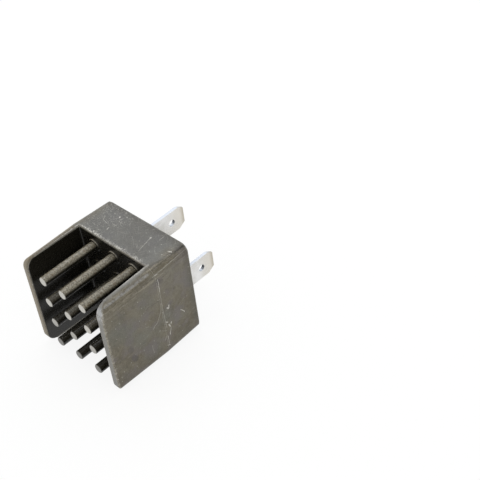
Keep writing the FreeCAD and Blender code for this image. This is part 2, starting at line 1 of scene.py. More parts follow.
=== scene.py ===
from functools import partial
import math
import random
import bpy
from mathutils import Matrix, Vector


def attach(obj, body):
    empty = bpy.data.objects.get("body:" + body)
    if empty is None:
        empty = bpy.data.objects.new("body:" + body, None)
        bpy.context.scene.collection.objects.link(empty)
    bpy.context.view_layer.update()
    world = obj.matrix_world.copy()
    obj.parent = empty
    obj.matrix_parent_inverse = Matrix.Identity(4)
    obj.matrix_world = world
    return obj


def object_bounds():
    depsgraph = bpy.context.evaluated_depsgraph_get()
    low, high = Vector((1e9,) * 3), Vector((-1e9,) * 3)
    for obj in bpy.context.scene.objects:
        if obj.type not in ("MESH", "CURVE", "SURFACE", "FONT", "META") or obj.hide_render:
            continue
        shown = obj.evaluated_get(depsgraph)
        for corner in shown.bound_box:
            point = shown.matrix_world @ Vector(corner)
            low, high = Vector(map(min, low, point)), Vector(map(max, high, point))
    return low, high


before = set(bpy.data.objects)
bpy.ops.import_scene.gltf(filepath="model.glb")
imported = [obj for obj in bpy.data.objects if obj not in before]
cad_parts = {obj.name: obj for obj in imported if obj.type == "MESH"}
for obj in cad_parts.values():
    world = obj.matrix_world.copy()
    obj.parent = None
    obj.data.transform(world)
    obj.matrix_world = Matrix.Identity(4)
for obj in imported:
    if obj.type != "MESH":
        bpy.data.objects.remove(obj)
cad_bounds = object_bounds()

from types import SimpleNamespace

import bmesh
import bpy
from mathutils import Matrix, Quaternion, Vector

# Plug-in solid-state relay in a die-cast heat sink with a thin black coating, well used.
# The scene is in metres, so sizes here are written in millimetres and turned with MM.
MM = 0.001

# Ends and outer faces of the whole relay, from the CAD's own bounds
PIN_FRONT, BLADE_TIP = (round(corner.y / MM, 2) for corner in cad_bounds)
OUTER_X, OUTER_Z = (round(size / MM, 2) for size in (cad_bounds[1].x, cad_bounds[1].z))

# The casting: its parting plane, its rounded corners, the inner faces of its plates, where its
# pins end across, and the bead of its flash
PARTING = -10.8
CORNER_RADIUS = 2.5
PLATE_INNER = 11.4
PIN_COLUMNS_END = 8.4
FLASH_BEAD = 0.06

# Blades: width and thickness of the strip, and place across and up of each, with its quarter turn
BLADE_WIDTH = 6.3
BLADE_THICKNESS = 0.8
BLADES = {
    "supply_blade": (0.0, 7.98, False),
    "control_blade": (8.4, -1.82, False),
    "ground_blade": (-8.4, -1.82, False),
    "load_blade": (0.0, -10.02, True),
}

# Circuit board: its two faces, centres across and up of what is soldered to it and of the
# screw, how far from its middle the tinned end of a component starts, and the pitch at which
# the turning marks of the screw are drawn
BOARD_INNER = -4.3
BOARD_OUTER = -3.3
CHIP = (6.2, 5.6)
RESISTORS = (-6.6, -7.7)
CAPACITOR = (6.6, -7.6)
SCREW = (0.0, 3.78)
TINNED_END = 1.1
TURNING_PITCH = 0.2

# Camera: where it stands and what it looks at, its roll in degrees, its lens and sensor, and
# how near it starts to see
CAMERA_PLACE = (144.55, -105.54, 162.40)
CAMERA_AIM = (14.907, 14.819, 4.890)
CAMERA_ROLL = -6.582
CAMERA_LENS = 75.37
SENSOR = 36.0
CAMERA_CLIP = 10.0

# Light: strength of the white surroundings as light, the floor's own share of its white and its
# half width, and the soft box overhead with its power in watts
STUDIO_LIGHT = 1.0
FLOOR_GLOW = 0.88
FLOOR_HALF = 2000.0
BOX_PLACE = (-120, 130, 300)
BOX_AIM = (0, -10, 0)
BOX_SIZE = (300, 300)
BOX_POWER = 0.35

# Scratches on the face towards +X and on the top face: from, to, half width and how bare
SIDE_MARKS = (
    # A long one from the top down, and the one that branches off it
    ((0, -10.2, 10.7), (0, -10.3, 7.0), 0.10, 0.80),
    ((0, -10.3, 7.0), (0, -10.4, 1.15), 0.08, 0.50),
    ((0, -10.4, 1.15), (0, -10.2, -4.7), 0.08, 0.60),
    ((0, -10.5, 3.3), (0, -11.25, 0.9), 0.08, 0.50),
    ((0, -11.25, 0.9), (0, -12.55, -1.3), 0.08, 0.55),
    ((0, -12.55, -1.3), (0, -13.6, -1.6), 0.09, 0.60),
    ((0, -13.6, -1.6), (0, -14.0, -2.25), 0.10, 0.65),
    # Nicks
    ((0, -8.45, 1.2), (0, -8.65, 0.4), 0.20, 0.90),
    ((0, -8.7, 0.4), (0, -9.1, 0.75), 0.28, 0.85),
    ((0, -5.25, -2.95), (0, -4.2, -4.4), 0.14, 0.80),
    ((0, -10.1, -3.0), (0, -9.65, -3.4), 0.18, 0.75),
    ((0, -8.65, -4.2), (0, -8.8, -4.5), 0.24, 0.90),
    ((0, -9.5, -4.35), (0, -9.2, -5.2), 0.22, 0.85),
    ((0, -9.0, -5.7), (0, -9.6, -7.4), 0.12, 0.70),
    ((0, -9.45, -6.8), (0, -9.6, -7.5), 0.17, 0.90),
    ((0, -10.55, 12.15), (0, -10.1, 12.05), 0.20, 0.85),
    # Short scratches
    ((0, -11.35, -8.1), (0, -10.9, -7.15), 0.09, 0.55),
    ((0, -10.3, -7.5), (0, -10.4, -10.4), 0.10, 0.70),
    ((0, -11.0, -10.0), (0, -10.2, -10.6), 0.12, 0.75),
    ((0, -11.8, -4.55), (0, -10.4, -5.65), 0.08, 0.45),
    ((0, -8.5, -1.1), (0, -9.05, -2.05), 0.08, 0.40),
    ((0, -16.1, 0.0), (0, -15.1, -0.35), 0.10, 0.35),
    ((0, -15.2, -6.6), (0, -15.1, -9.2), 0.08, 0.45),
    ((0, -5.4, -1.0), (0, -3.5, -0.3), 0.08, 0.35),
    # A painted highlight along the upper rounded corner, drawn as a pale line
    ((0, -11.4, 12.1), (0, -0.6, 12.4), 0.10, 0.45),
)
SIDE_SMUDGES = (
    ((0, -21.2, -2.8), (0, -20.8, -3.6), 1.1, 0.4),
    ((0, -20.6, -6.0), (0, -20.3, -6.8), 1.2, 0.5),
    ((0, -10.4, 10.2), (0, -9.2, 9.4), 0.9, 0.4),
    ((0, -14.6, 5.0), (0, -11.0, 4.6), 0.2, 0.4),
)
TOP_MARKS = (
    ((-9.1, -4.6, 0), (-8.3, -5.9, 0), 0.10, 0.50),
    ((-8.3, -5.9, 0), (-6.5, -6.3, 0), 0.10, 0.50),
    ((-5.9, -2.85, 0), (-5.7, -3.1, 0), 0.20, 0.90),
    ((-7.9, -2.7, 0), (-7.5, -2.75, 0), 0.14, 0.60),
    ((-4.6, -2.1, 0), (-4.25, -1.85, 0), 0.13, 0.65),
    ((-4.2, -3.7, 0), (-3.9, -4.4, 0), 0.12, 0.50),
    ((-5.1, -7.15, 0), (-4.8, -7.8, 0), 0.16, 0.60),
    ((-5.4, -5.5, 0), (-4.3, -5.6, 0), 0.12, 0.45),
    ((-2.3, -6.7, 0), (0.1, -6.0, 0), 0.08, 0.35),
    ((5.25, -3.4, 0), (5.3, -3.65, 0), 0.30, 0.75),
    ((5.25, -3.45, 0), (6.15, -7.4, 0), 0.13, 0.50),
    ((6.15, -7.4, 0), (6.5, -8.4, 0), 0.09, 0.45),
    ((7.35, -1.4, 0), (7.45, -2.85, 0), 0.12, 0.45),
    ((8.3, -5.2, 0), (8.5, -5.1, 0), 0.14, 0.40),
    ((11.8, -4.3, 0), (12.3, -3.85, 0), 0.20, 0.95),
    ((11.4, -6.1, 0), (11.5, -5.9, 0), 0.16, 0.60),
)

# The kinds of node that come up most, and their usual settings. A smooth step stays between its
# ends by itself, and a clamp on top of it makes a large shader too big to render.
MATH = "ShaderNodeMath"
VECTOR = "ShaderNodeVectorMath"
RANGE = "ShaderNodeMapRange"
NOISE = "ShaderNodeTexNoise"
CELLS = "ShaderNodeTexVoronoi"
MAPPING = "ShaderNodeMapping"
BUMP = "ShaderNodeBump"
SHADER = "ShaderNodeBsdfPrincipled"
OUTPUT = "ShaderNodeOutputMaterial"
SMOOTH = {"interpolation_type": "SMOOTHSTEP", "clamp": False}
TIMES = {"operation": "MULTIPLY"}

# From and to of an edge that follows another mask over its whole range
FULL = (0.0, 1.0)


def linear(hex_colour):
    """Turns an sRGB hex colour into the linear colour that a shader takes."""
    channels = []
    for start in (1, 3, 5):
        value = int(hex_colour[start:start + 2], 16) / 255
        low = value <= 0.04045
        channels.append(value / 12.92 if low else ((value + 0.055) / 1.055) ** 2.4)
    return (*channels, 1.0)


def add(tree, kind, links=None, out=0, **settings):
    """Adds a node with its settings, fills or links its inputs, and gives back one output."""
    node = tree.nodes.new(kind)
    for name, value in settings.items():
        setattr(node, name, value)
    for name, value in (links or {}).items():
        if isinstance(value, bpy.types.NodeSocket):
            tree.links.new(value, node.inputs[name])
        else:
            plain = linear(value) if isinstance(value, str) else value
            node.inputs[name].default_value = plain
    return node.outputs[out] if len(node.outputs) else node


def blank(name):
    """A new material, what adds nodes to it, and the place on the part in millimetres."""
    material = bpy.data.materials.new(name)
    material.use_nodes = True
    material.node_tree.nodes.clear()
    node = partial(add, material.node_tree)
    metres = node("ShaderNodeTexCoord", out="Object")
    return material, node, node(VECTOR, {0: metres, "Scale": 1 / MM}, operation="SCALE")


def zone(node, *edges):
    """Where every value is past its edge.

    An edge is a value, where it fades in, from and to, and what it gives there if not 0 and 1.
    """
    inside = 1.0
    for edge in edges:
        step = node(RANGE, dict(enumerate(edge)), **SMOOTH)
        inside = node(MATH, {0: inside, 1: step}, **TIMES)
    return inside


def strongest(node, *masks):
    """Where any of the masks holds."""
    joined, *others = masks
    for mask in others:
        joined = node(MATH, {0: joined, 1: mask}, operation="MAXIMUM")
    return joined


def layered(node, ground, *layers):
    """A ground colour under thin layers, each with its cover from 0 to 1 and its colour."""
    for cover, colour in layers:
        ground = node("ShaderNodeMix", {0: cover, 6: ground, 7: colour}, 2, data_type="RGBA")
    return ground


def patches(node, place, size, *levels, stretch=(1, 1, 1), shift=(0, 0, 0), **texture):
    """An uneven pattern about size millimetres across, as it is or between the given levels.

    The levels are where it fades in, from and to, and what it gives there if not 0 and 1.
    """
    scale = [1 / (size * factor) for factor in stretch]
    spread = node(MAPPING, {"Vector": place, "Location": shift, "Scale": scale})
    uneven = node(NOISE, {"Vector": spread, "Scale": 1.0, **texture})
    return node(RANGE, dict(enumerate((uneven, *levels))), **SMOOTH) if levels else uneven


def worn_line():
    """A mark between two points: as strong as given along its middle, 0 past its half width."""
    group = bpy.data.node_groups.new("worn_line", "ShaderNodeTree")
    node = partial(add, group)
    for name in ("Place", "From", "To"):
        group.interface.new_socket(name, in_out="INPUT", socket_type="NodeSocketVector")
    for name in ("Width", "Strength"):
        group.interface.new_socket(name, in_out="INPUT", socket_type="NodeSocketFloat")
    group.interface.new_socket("Line", in_out="OUTPUT", socket_type="NodeSocketFloat")
    given = node("NodeGroupInput").node.outputs
    along = node(VECTOR, {0: given["To"], 1: given["From"]}, operation="SUBTRACT")
    offset = node(VECTOR, {0: given["Place"], 1: given["From"]}, operation="SUBTRACT")
    reach = node(VECTOR, {0: offset, 1: along}, "Value", operation="DOT_PRODUCT")
    length = node(VECTOR, {0: along, 1: along}, "Value", operation="DOT_PRODUCT")
    share = node("ShaderNodeClamp", {"Value": node(MATH, {0: reach, 1: length}, operation="DIVIDE")})
    nearest = node(VECTOR, {0: along, "Scale": share}, operation="SCALE")
    gap = node(VECTOR, {0: offset, 1: nearest}, "Value", operation="DISTANCE")
    core = node(MATH, {0: given["Width"], 1: 0.4}, **TIMES)
    line = node(RANGE, {0: gap, 1: core, 2: given["Width"], 3: given["Strength"], 4: 0.0}, **SMOOTH)
    node("NodeGroupOutput", {"Line": line})
    return group


def scratches(node, group, place, marks):
    """All the marks on one face, where place has already lost the direction across the face.

    Each is joined to the ones before it as it is made, as a shader can hold few values at once.
    """
    names = ("From", "To", "Width", "Strength")
    joined = 0.0
    for mark in marks:
        line = node("ShaderNodeGroup", {"Place": place, **dict(zip(names, mark))}, node_tree=group)
        joined = strongest(node, joined, line)
    return joined


def casting_faces(node, place):
    """What the casting's looks share: where a place lies, which way it faces, and textures.

    Hands reach the outer faces and the narrow edges of the plates, but not the cup of pins, which is
    also painted darker as painted shade of that recess. The three that start with on or facing are
    edges, ready for a zone.
    """
    spot = node("ShaderNodeSeparateXYZ", {0: place}).node.outputs
    aside, level = (node(MATH, {0: spot[axis]}, operation="ABSOLUTE") for axis in "XZ")
    facing = node("ShaderNodeTexCoord", out="Normal")
    facing = node("ShaderNodeSeparateXYZ", {0: facing}).node.outputs
    sideways = node(MATH, {0: facing["X"]}, operation="ABSOLUTE")
    rims = zone(node, (spot["Y"], PARTING - 0.5, PARTING - 1.5), (sideways, 0.85, 0.6),
                (aside, PLATE_INNER - 0.2, PLATE_INNER + 0.1))
    flank = zone(node, (aside, OUTER_X - 1.6, OUTER_X - 0.7))
    roof = zone(node, (level, OUTER_Z - 0.8, OUTER_Z - 0.35))
    outside = strongest(node, rims, flank, roof)
    wobble = node(NOISE, {"Vector": place, "Scale": 0.9}, "Color")
    return SimpleNamespace(
        place=place, x=spot["X"], y=spot["Y"], z=spot["Z"], aside=aside,
        upward=facing["Z"], sideways=sideways,
        forward=node(MATH, {0: facing["Y"], 1: -1.0}, **TIMES),
        rims=rims, roof=roof, outside=outside,
        on_rims=(rims, *FULL), on_outside=(outside, *FULL), facing_up=(facing["Z"], 0.8, 0.98),
        wobble=node(VECTOR, {0: wobble, 1: (0.5, 0.5, 0.5)}, operation="SUBTRACT"),
        haze=patches(node, place, 6.5, Detail=4.0, Roughness=0.55),
        grain=patches(node, place, 0.3, Detail=2.0),
        chips=patches(node, place, 0.9, Detail=4.0, Roughness=0.75),
    )


def handling_marks(node, cast):
    """Two masks: where scratches, hairlines, nicks and scuffs are, and where dark smudges are."""
    group = worn_line()
    wandering = node(VECTOR, {0: cast.wobble, 1: (0.3, 0.3, 0.3), 2: cast.place},
                     operation="MULTIPLY_ADD")
    side_place = node(VECTOR, {0: wandering, 1: (0, 1, 1)}, **TIMES)
    top_place = node(VECTOR, {0: wandering, 1: (1, 1, 0)}, **TIMES)
    on_side = (cast.x, OUTER_X - 0.8, OUTER_X - 0.5)
    on_top = (cast.z, OUTER_Z - 0.7, OUTER_Z - 0.4)
    smudges, side_scratches, top_scratches = (
        zone(node, (scratches(node, group, flat_place, marks), *FULL), face)
        for flat_place, marks, face in (
            (side_place, SIDE_SMUDGES, on_side), (side_place, SIDE_MARKS, on_side),
            (top_place, TOP_MARKS, on_top),
        )
    )
    joined = strongest(node, side_scratches, top_scratches)

    # Hairlines run four ways, and those that run along the top face lie only on it
    for turn, rarity, where in (
        ((0.4, 0.4, 0.4), 0.8, cast.on_outside), ((1.9, 1.9, 1.9), 0.8, cast.on_outside),
        ((0, 0, 0.5), 0.72, cast.facing_up), ((0, 0, 2.3), 0.74, cast.facing_up),
    ):
        turned = node(MAPPING, {"Vector": cast.place, "Rotation": turn})
        hair = patches(node, turned, 1.0, rarity, rarity + 0.06, stretch=(0.11, 2.4, 2.4),
                       Detail=0.0)
        hair = zone(node, (hair, *FULL, 0.0, 0.28), where, cast.on_outside)
        joined = strongest(node, joined, hair)

    # Small nicks, scuffs in patches of 3 mm, and what breaks up every mark along its way
    cells = node(CELLS, {"Vector": cast.place, "Scale": 0.7})
    nicks = zone(node, (cells, 0.12, 0.05, 0.0, 0.6), cast.on_outside)
    scuffed = patches(node, cast.place, 3.0, 0.45, 0.65, shift=(5, 3, 8), Detail=2.0)
    scuffs = patches(node, cast.place, 0.25, 0.6, 0.74, 0.0, 0.35, shift=(2, 2, 7), Detail=3.0)
    scuffs = zone(node, (scuffs, *FULL), (scuffed, *FULL), cast.on_outside,
                  (cast.upward, -0.5, 0.9, 0.4, 1.0))
    broken = patches(node, cast.place, 0.35, 0.34, 0.54, 0.5, 1.0, shift=(7, 1, 4), Detail=2.0)
    joined = node(MATH, {0: strongest(node, joined, nicks, scuffs), 1: broken}, **TIMES)
    return joined, smudges


def bare_metal(node, cast, marks):
    """Where the metal shows: at worn edges, in the marks, as flecks and on the ends of the pins."""
    shelter = node("ShaderNodeAmbientOcclusion", {"Distance": 0.9 * MM}, "AO",
                   inside=True, only_local=True, samples=8)
    exposed = node(RANGE, {0: shelter, 1: 0.86, 2: 0.55}, **SMOOTH)
    ragged = node(RANGE, {0: cast.chips, 1: 0.3, 2: 0.7, 3: -0.45, 4: 0.3}, **SMOOTH)
    edge = node(MATH, {0: exposed, 1: ragged}, operation="ADD")
    plate_top = zone(node, cast.on_rims, (cast.upward, 0.3, 0.8))
    off_plate_top = node(MATH, {0: 1.0, 1: plate_top}, operation="SUBTRACT")
    edge = zone(node, (edge, 0.2, 0.75, 0.0, 0.85), cast.on_outside, (off_plate_top, *FULL),
                (cast.roof, *FULL, 1.0, 0.65))

    # Flecks lie thickest along the wall's top edge, above the pins, and on the far end of the top
    flecks = patches(node, cast.place, 0.33, shift=(4, 6, 1), Detail=3.0, Roughness=0.6)
    from_edge = node(RANGE, {0: cast.y, 1: PARTING + 0.2, 2: PARTING + 1.8, 3: 0.44, 4: 0.72})
    chipped = node(MATH, {0: flecks, 1: from_edge}, operation="SUBTRACT")
    worn_here = patches(node, cast.place, 2.5, 0.35, 0.6, 0.35, 0.8, shift=(9, 4, 3), Detail=2.0)
    wall_edge = zone(node, (chipped, 0.0, 0.08), (cast.z, OUTER_Z - 0.3, OUTER_Z - 0.1),
                     (cast.aside, PLATE_INNER + 0.6, PLATE_INNER - 0.1),
                     (cast.y, PARTING + 2.0, PARTING + 1.2), (worn_here, *FULL))
    top_flecks = zone(node, (flecks, 0.52, 0.68, 0.0, 0.45), cast.facing_up,
                      (cast.x, 0.0, -4.5), (worn_here, 0.35, 0.8, 0.3, 1.0))
    # The bare ends of the pins, painted paler on the upper rows and darker on the lower ones as
    # painted light
    tips = zone(node, (cast.y, PIN_FRONT + 0.12, PIN_FRONT + 0.02),
                (cast.aside, PIN_COLUMNS_END + 1.1, PIN_COLUMNS_END + 0.6),
                (cast.z, -10.0, 2.0, 0.25, 0.95))
    return strongest(node, edge, wall_edge, marks, tips, top_flecks)


def rim_layers(node, cast):
    """Covers and colours along the narrow edges of the plates: rubbed, with a dark inner side, front
    faces painted lighter as rubbed and as painted light, and a painted highlight with bare chips
    near the upper corner towards +X.
    """
    front_strip = zone(node, (*cast.on_rims, 0.0, 0.85), (cast.sideways, 0.4, 0.1),
                       (cast.chips, 0.3, 0.5, 0.6, 1.0))
    # Front faces of the rims: rubbed, and painted lighter as painted light where they face the light
    lit_and_rubbed_front_edge = zone(node, (cast.forward, 0.1, 0.35), (cast.sideways, 0.15, 0.45),
                      (cast.sideways, 0.98, 0.88),
                      (cast.aside, PLATE_INNER - 0.4, OUTER_X - 0.6, 0.3, 0.6),
                      (cast.chips, 0.38, 0.56, 0.2, 1.0))
    # Painted highlight on the rounded upper corner of the plate towards +X, broken by bare chips
    corner_highlight_and_chips = zone(node, (*cast.on_rims, 0.0, 0.9), (cast.z, OUTER_Z - 5.2, OUTER_Z - 2.2),
                       (cast.upward, 0.9, 0.6), (cast.x, 0.0, 1.0),
                       (cast.chips, 0.38, 0.55, 0.1, 1.0))
    far_rim = zone(node, (cast.x, 0.0, -1.0), cast.on_rims)
    far_rim_worn = zone(node, (far_rim, *FULL), (cast.chips, 0.36, 0.58, 0.35, 0.85))
    far_inner_side = zone(node, (far_rim, *FULL),
                          (cast.aside, PLATE_INNER + 1.3, PLATE_INNER + 0.5),
                          (cast.chips, 0.3, 0.6, 0.5, 0.95))
    return ((front_strip, "#7d7c78"), (lit_and_rubbed_front_edge, "#979080"), (corner_highlight_and_chips, "#aeafb0"),
            (far_rim_worn, "#897c64"), (far_inner_side, "#4b4230"))


def handled_coating(node, cast, smudges):
    """The coating where hands reach: hazed and mottled grey-brown, greyer on the top face, with
    painted light on the upper sides and painted shade at the back and the foot.
    """
    place, aside = cast.place, cast.aside
    hazed = node(RANGE, {0: cast.haze, 1: 0.36, 2: 0.64}, **SMOOTH)
    # Painted light: the faces towards +X and -X are painted lighter higher up and towards the back,
    # as lit from above
    lit_upper_side = zone(node, (cast.sideways, 0.8, 0.98), (cast.z, 0.0, 9.0, 0.0, 0.25),
                      (cast.y, -24.0, -8.0, 0.2, 1.0))
    mottle = patches(node, place, 0.9, 0.4, 0.7, 0.0, 0.5, shift=(3, 5, 2), Detail=4.0,
                     Roughness=0.65)
    stain = patches(node, place, 1.7, 0.5, 0.75, 0.0, 0.6, shift=(1, 7, 9), Detail=5.0,
                    Roughness=0.6)
    cool = patches(node, place, 8.0, 0.45, 0.7, 0.0, 0.5, shift=(2, 9, 6), Detail=2.0)
    mauve = patches(node, place, 4.5, 0.46, 0.66, 0.0, 0.6, shift=(7, 3, 1), Detail=3.0)
    top_face = zone(node, (*cast.facing_up, 0.0, 0.75),
                    (aside, OUTER_X - 1.5, OUTER_X - 4.5, 0.3, 1.0))
    top_cloud = patches(node, place, 4.0, 0.42, 0.7, 0.0, 0.6, shift=(6, 1, 1), Detail=3.0)
    top_cloud = zone(node, (top_cloud, *FULL), cast.facing_up)

    # Flow streaks of 0.5 mm, sixteen times as long, along both sides of each upper corner
    beside_corner = zone(node, (aside, OUTER_X - 3.5, OUTER_X - 1.2),
                         (cast.z, OUTER_Z - 6.2, OUTER_Z - 1.2))
    streaks = node(VECTOR, {0: cast.wobble, 1: (0.7, 0.7, 0.7), 2: place},
                   operation="MULTIPLY_ADD")
    streaks = patches(node, streaks, 0.5, stretch=(1, 16, 1), Detail=4.0, Roughness=0.65)
    dark_streak = zone(node, (streaks, 0.5, 0.64, 0.0, 0.38), (beside_corner, *FULL))
    pale_streak = zone(node, (streaks, 0.5, 0.34, 0.0, 0.55), (beside_corner, *FULL))
    # Painted shade: the coating is painted darker near the back end and along the foot
    shade_at_back_and_foot = strongest(node, zone(node, (cast.y, -3.0, -0.3, 0.0, 0.5)),
                              zone(node, (cast.z, 6.7 - OUTER_Z, 0.2 - OUTER_Z, 0.0, 0.4)))
    return layered(
        node, "#534c3c", (hazed, "#655f50"), (lit_upper_side, "#85827a"), (mottle, "#6f6a59"),
        (stain, "#4a4436"), (cool, "#5d605a"), (mauve, "#625c5b"),
        (top_face, "#5b5b59"), (top_cloud, "#676762"), (dark_streak, "#3a3122"),
        (pale_streak, "#8a8373"), (shade_at_back_and_foot, "#3f3b32"), (smudges, "#3b3639"),
        *rim_layers(node, cast),
    )


def dust_and_lit_pin_tops(node, cast):
    """Where the pins are painted paler, as dust and as painted light on their upper sides, more on
    the upper rows, and its colour.
    """
    # Dust and painted light: the upward faces of the pins, strongest on the top row
    dust_and_lit_tops = zone(node, (cast.aside, PIN_COLUMNS_END + 0.2, PIN_COLUMNS_END - 0.1),
                 (cast.y, PARTING - 0.05, PARTING - 0.2),
                 (cast.upward, 0.15, 0.78), (cast.z, 1.0, 9.5, 0.1, 0.95))
    fine = patches(node, cast.place, 0.36, 0.38, 0.62, shift=(8, 2, 2), Detail=3.0, Roughness=0.7)
    earth = patches(node, cast.place, 0.7, 0.5, 0.7, 0.0, 0.6, shift=(3, 3, 9), Detail=4.0)
    return dust_and_lit_tops, layered(node, "#595344", (fine, "#8f8979"), (earth, "#675740"))


def coated_casting():
    """Die-cast aluminium alloy under a thin black coating, worn by years of handling.

    The coating is painted nearly black in the cup of pins, partly as painted shade of that recess
    and partly as coating that nothing wears. The faces that hands reach are hazed grey-brown and
    semi-matt, with brown flow streaks beside the rounded corners.
    Its edges, its scratches and the ends of its pins show the bare metal.
    """
    material, node, place = blank("coated_cast_aluminium")
    cast = casting_faces(node, place)
    marks, smudges = handling_marks(node, cast)
    bare = bare_metal(node, cast, marks)
    pale_grain = zone(node, (cast.grain, 0.5, 0.75, 0.0, 0.2), (cast.outside, -0.2, 1.0))
    dark_grain = zone(node, (cast.grain, 0.45, 0.3, 0.0, 0.25))
    # The nearly black ground in the cup of pins is partly painted shade of the recess and partly
    # unworn coating
    colour = layered(
        node, "#181611", (cast.outside, handled_coating(node, cast, smudges)),
        dust_and_lit_pin_tops(node, cast), (pale_grain, "#8f8b7e"), (dark_grain, "#2b2922"),
        (bare, "#bab7af"),
    )
    metal = node(MATH, {0: bare, 1: 0.5}, **TIMES)
    worn = node(RANGE, {0: cast.grain, 1: 0.3, 2: 0.7, 3: -0.05, 4: 0.05})
    gloss = zone(node, (*cast.on_outside, 0.24, 0.5))
    polish = node(MATH, {0: worn, 1: gloss}, operation="ADD")
    skin = node(BUMP, {"Height": cast.haze, "Distance": 0.05 * MM})
    skin = node(BUMP, {"Height": cast.grain, "Distance": 0.012 * MM, "Normal": skin})
    skin = node(BUMP, {"Height": marks, "Distance": 0.02 * MM, "Normal": skin}, invert=True)
    node(OUTPUT, {"Surface": node(SHADER, {
        "Base Color": colour, "Metallic": metal, "Roughness": polish, "IOR": 1.43, "Normal": skin,
    })})
    return material


def trimmed_metal():
    """Bare cast aluminium at the trimmed flash: dull, pale grey and slightly pitted."""
    material, node, place = blank("bare_cast_aluminium")
    pits = patches(node, place, 0.25, 0.35, 0.65, Detail=2.0)
    colour = layered(node, "#8f8b80", (pits, "#b0aca2"))
    skin = node(BUMP, {"Height": pits, "Distance": 0.01 * MM})
    node(OUTPUT, {"Surface": node(SHADER, {
        "Base Color": colour, "Metallic": 0.5, "Roughness": 0.45, "Normal": skin,
    })})
    return material


def tinned_blade():
    """Half-hard brass strip, rolled, stamped and tin plated, so bright, with fine rolling lines.

    The tin is a little cloudy, its edges are duller and cooler where it was stamped, and its
    outer end has yellowed. Rolling lines are drawn 0.12 mm apart, several times as far as on the
    real strip, so that they show.
    """
    material, node, place = blank("tinned_brass")
    spot = node("ShaderNodeSeparateXYZ", {0: place}).node.outputs
    lines = patches(node, place, 0.12, 0.3, 0.7, stretch=(1, 40, 1), Detail=2.0)
    cloud = patches(node, place, 3.5, 0.35, 0.65, shift=(2, 4, 1), Detail=2.0)
    specks = patches(node, place, 0.22, 0.66, 0.78, 0.0, 0.5, shift=(5, 5, 5), Detail=1.0)
    facing = node("ShaderNodeTexCoord", out="Normal")
    facing = node("ShaderNodeSeparateXYZ", {0: facing}).node.outputs
    sideways, up = (node(MATH, {0: facing[axis]}, operation="ABSOLUTE") for axis in "XZ")

    # The load blade lies flat below the others, so its cut edges face another way than theirs
    load_blade = (spot["Z"], -6.0, -7.0)
    others = (spot["Z"], -7.0, -6.0)
    cut = strongest(node, zone(node, (sideways, 0.7, 0.4), others),
                    zone(node, (up, 0.7, 0.4), load_blade))
    outer_end = zone(node, (spot["Y"], BLADE_TIP - 6.0, BLADE_TIP - 1.0, 0.0, 0.8))
    tip = zone(node, (spot["Y"], BLADE_TIP - 1.4, BLADE_TIP - 0.2, 0.0, 0.75))
    colour = layered(node, "#d4d3d0", (lines, "#dfdedb"), (cloud, "#e8e8e7"),
                     (outer_end, "#dcd7cd"), (cut, "#c6cad0"), (tip, "#b6ae9d"),
                     (specks, "#8f8a82"))
    polish = node(RANGE, {0: cut, 1: 0.0, 2: 1.0, 3: 0.36, 4: 0.5})
    skin = node(BUMP, {"Height": lines, "Distance": 0.004 * MM})
    skin = node(BUMP, {"Height": cloud, "Distance": 0.02 * MM, "Normal": skin})
    node(OUTPUT, {"Surface": node(SHADER, {
        "Base Color": colour, "Metallic": 1.0, "Roughness": polish, "Normal": skin,
    })})
    return material


def moulded_nylon():
    """Glass-filled nylon 66, injection moulded against a spark-eroded tool: black and semi-matt.

    The tool leaves a pebbled skin of 0.2 mm, and the glass shows as pale streaks that run up
    and down. Dust has settled on the skin.
    """
    material, node, place = blank("moulded_nylon")
    cells = node(CELLS, {"Vector": place, "Scale": 5.0}, feature="SMOOTH_F1")
    pebbles = node(RANGE, {0: cells, 1: 0.1, 2: 0.6, 3: 1.0, 4: 0.0}, **SMOOTH)
    fibres = patches(node, place, 0.5, 0.55, 0.75, 0.0, 0.35, stretch=(0.4, 1, 6), Detail=3.0)
    dust = patches(node, place, 3.0, 0.45, 0.7, 0.0, 0.5, shift=(1, 8, 3), Detail=5.0)
    colour = layered(node, "#1c1c1d", (fibres, "#3a3a39"), (dust, "#34322e"))
    polish = node(RANGE, {0: dust, 1: 0.0, 2: 0.5, 3: 0.46, 4: 0.62})
    skin = node(BUMP, {"Height": pebbles, "Distance": 0.02 * MM})
    node(OUTPUT, {"Surface": node(SHADER, {
        "Base Color": colour, "Roughness": polish, "IOR": 1.53, "Normal": skin,
    })})
    return material


def cast_resin():
    """Two-part epoxy resin, poured and set: black, glossy, slightly uneven, with pinholes."""
    material, node, place = blank("cast_resin")
    swell = patches(node, place, 1.6, Detail=1.0)
    cells = node(CELLS, {"Vector": place, "Scale": 0.9})
    pinholes = node(RANGE, {0: cells, 1: 0.1, 2: 0.16, 3: 1.0, 4: 0.0}, **SMOOTH)
    dust = patches(node, place, 1.2, 0.5, 0.7, 0.0, 0.4, shift=(4, 4, 4), Detail=4.0)
    colour = layered(node, "#121213", (dust, "#3b3832"), (pinholes, "#050505"))
    polish = node(RANGE, {0: dust, 1: 0.0, 2: 0.4, 3: 0.12, 4: 0.4})
    skin = node(BUMP, {"Height": swell, "Distance": 0.12 * MM})
    skin = node(BUMP, {"Height": pinholes, "Distance": 0.1 * MM, "Normal": skin}, invert=True)
    node(OUTPUT, {"Surface": node(SHADER, {
        "Base Color": colour, "Roughness": polish, "IOR": 1.55, "Normal": skin,
    })})
    return material


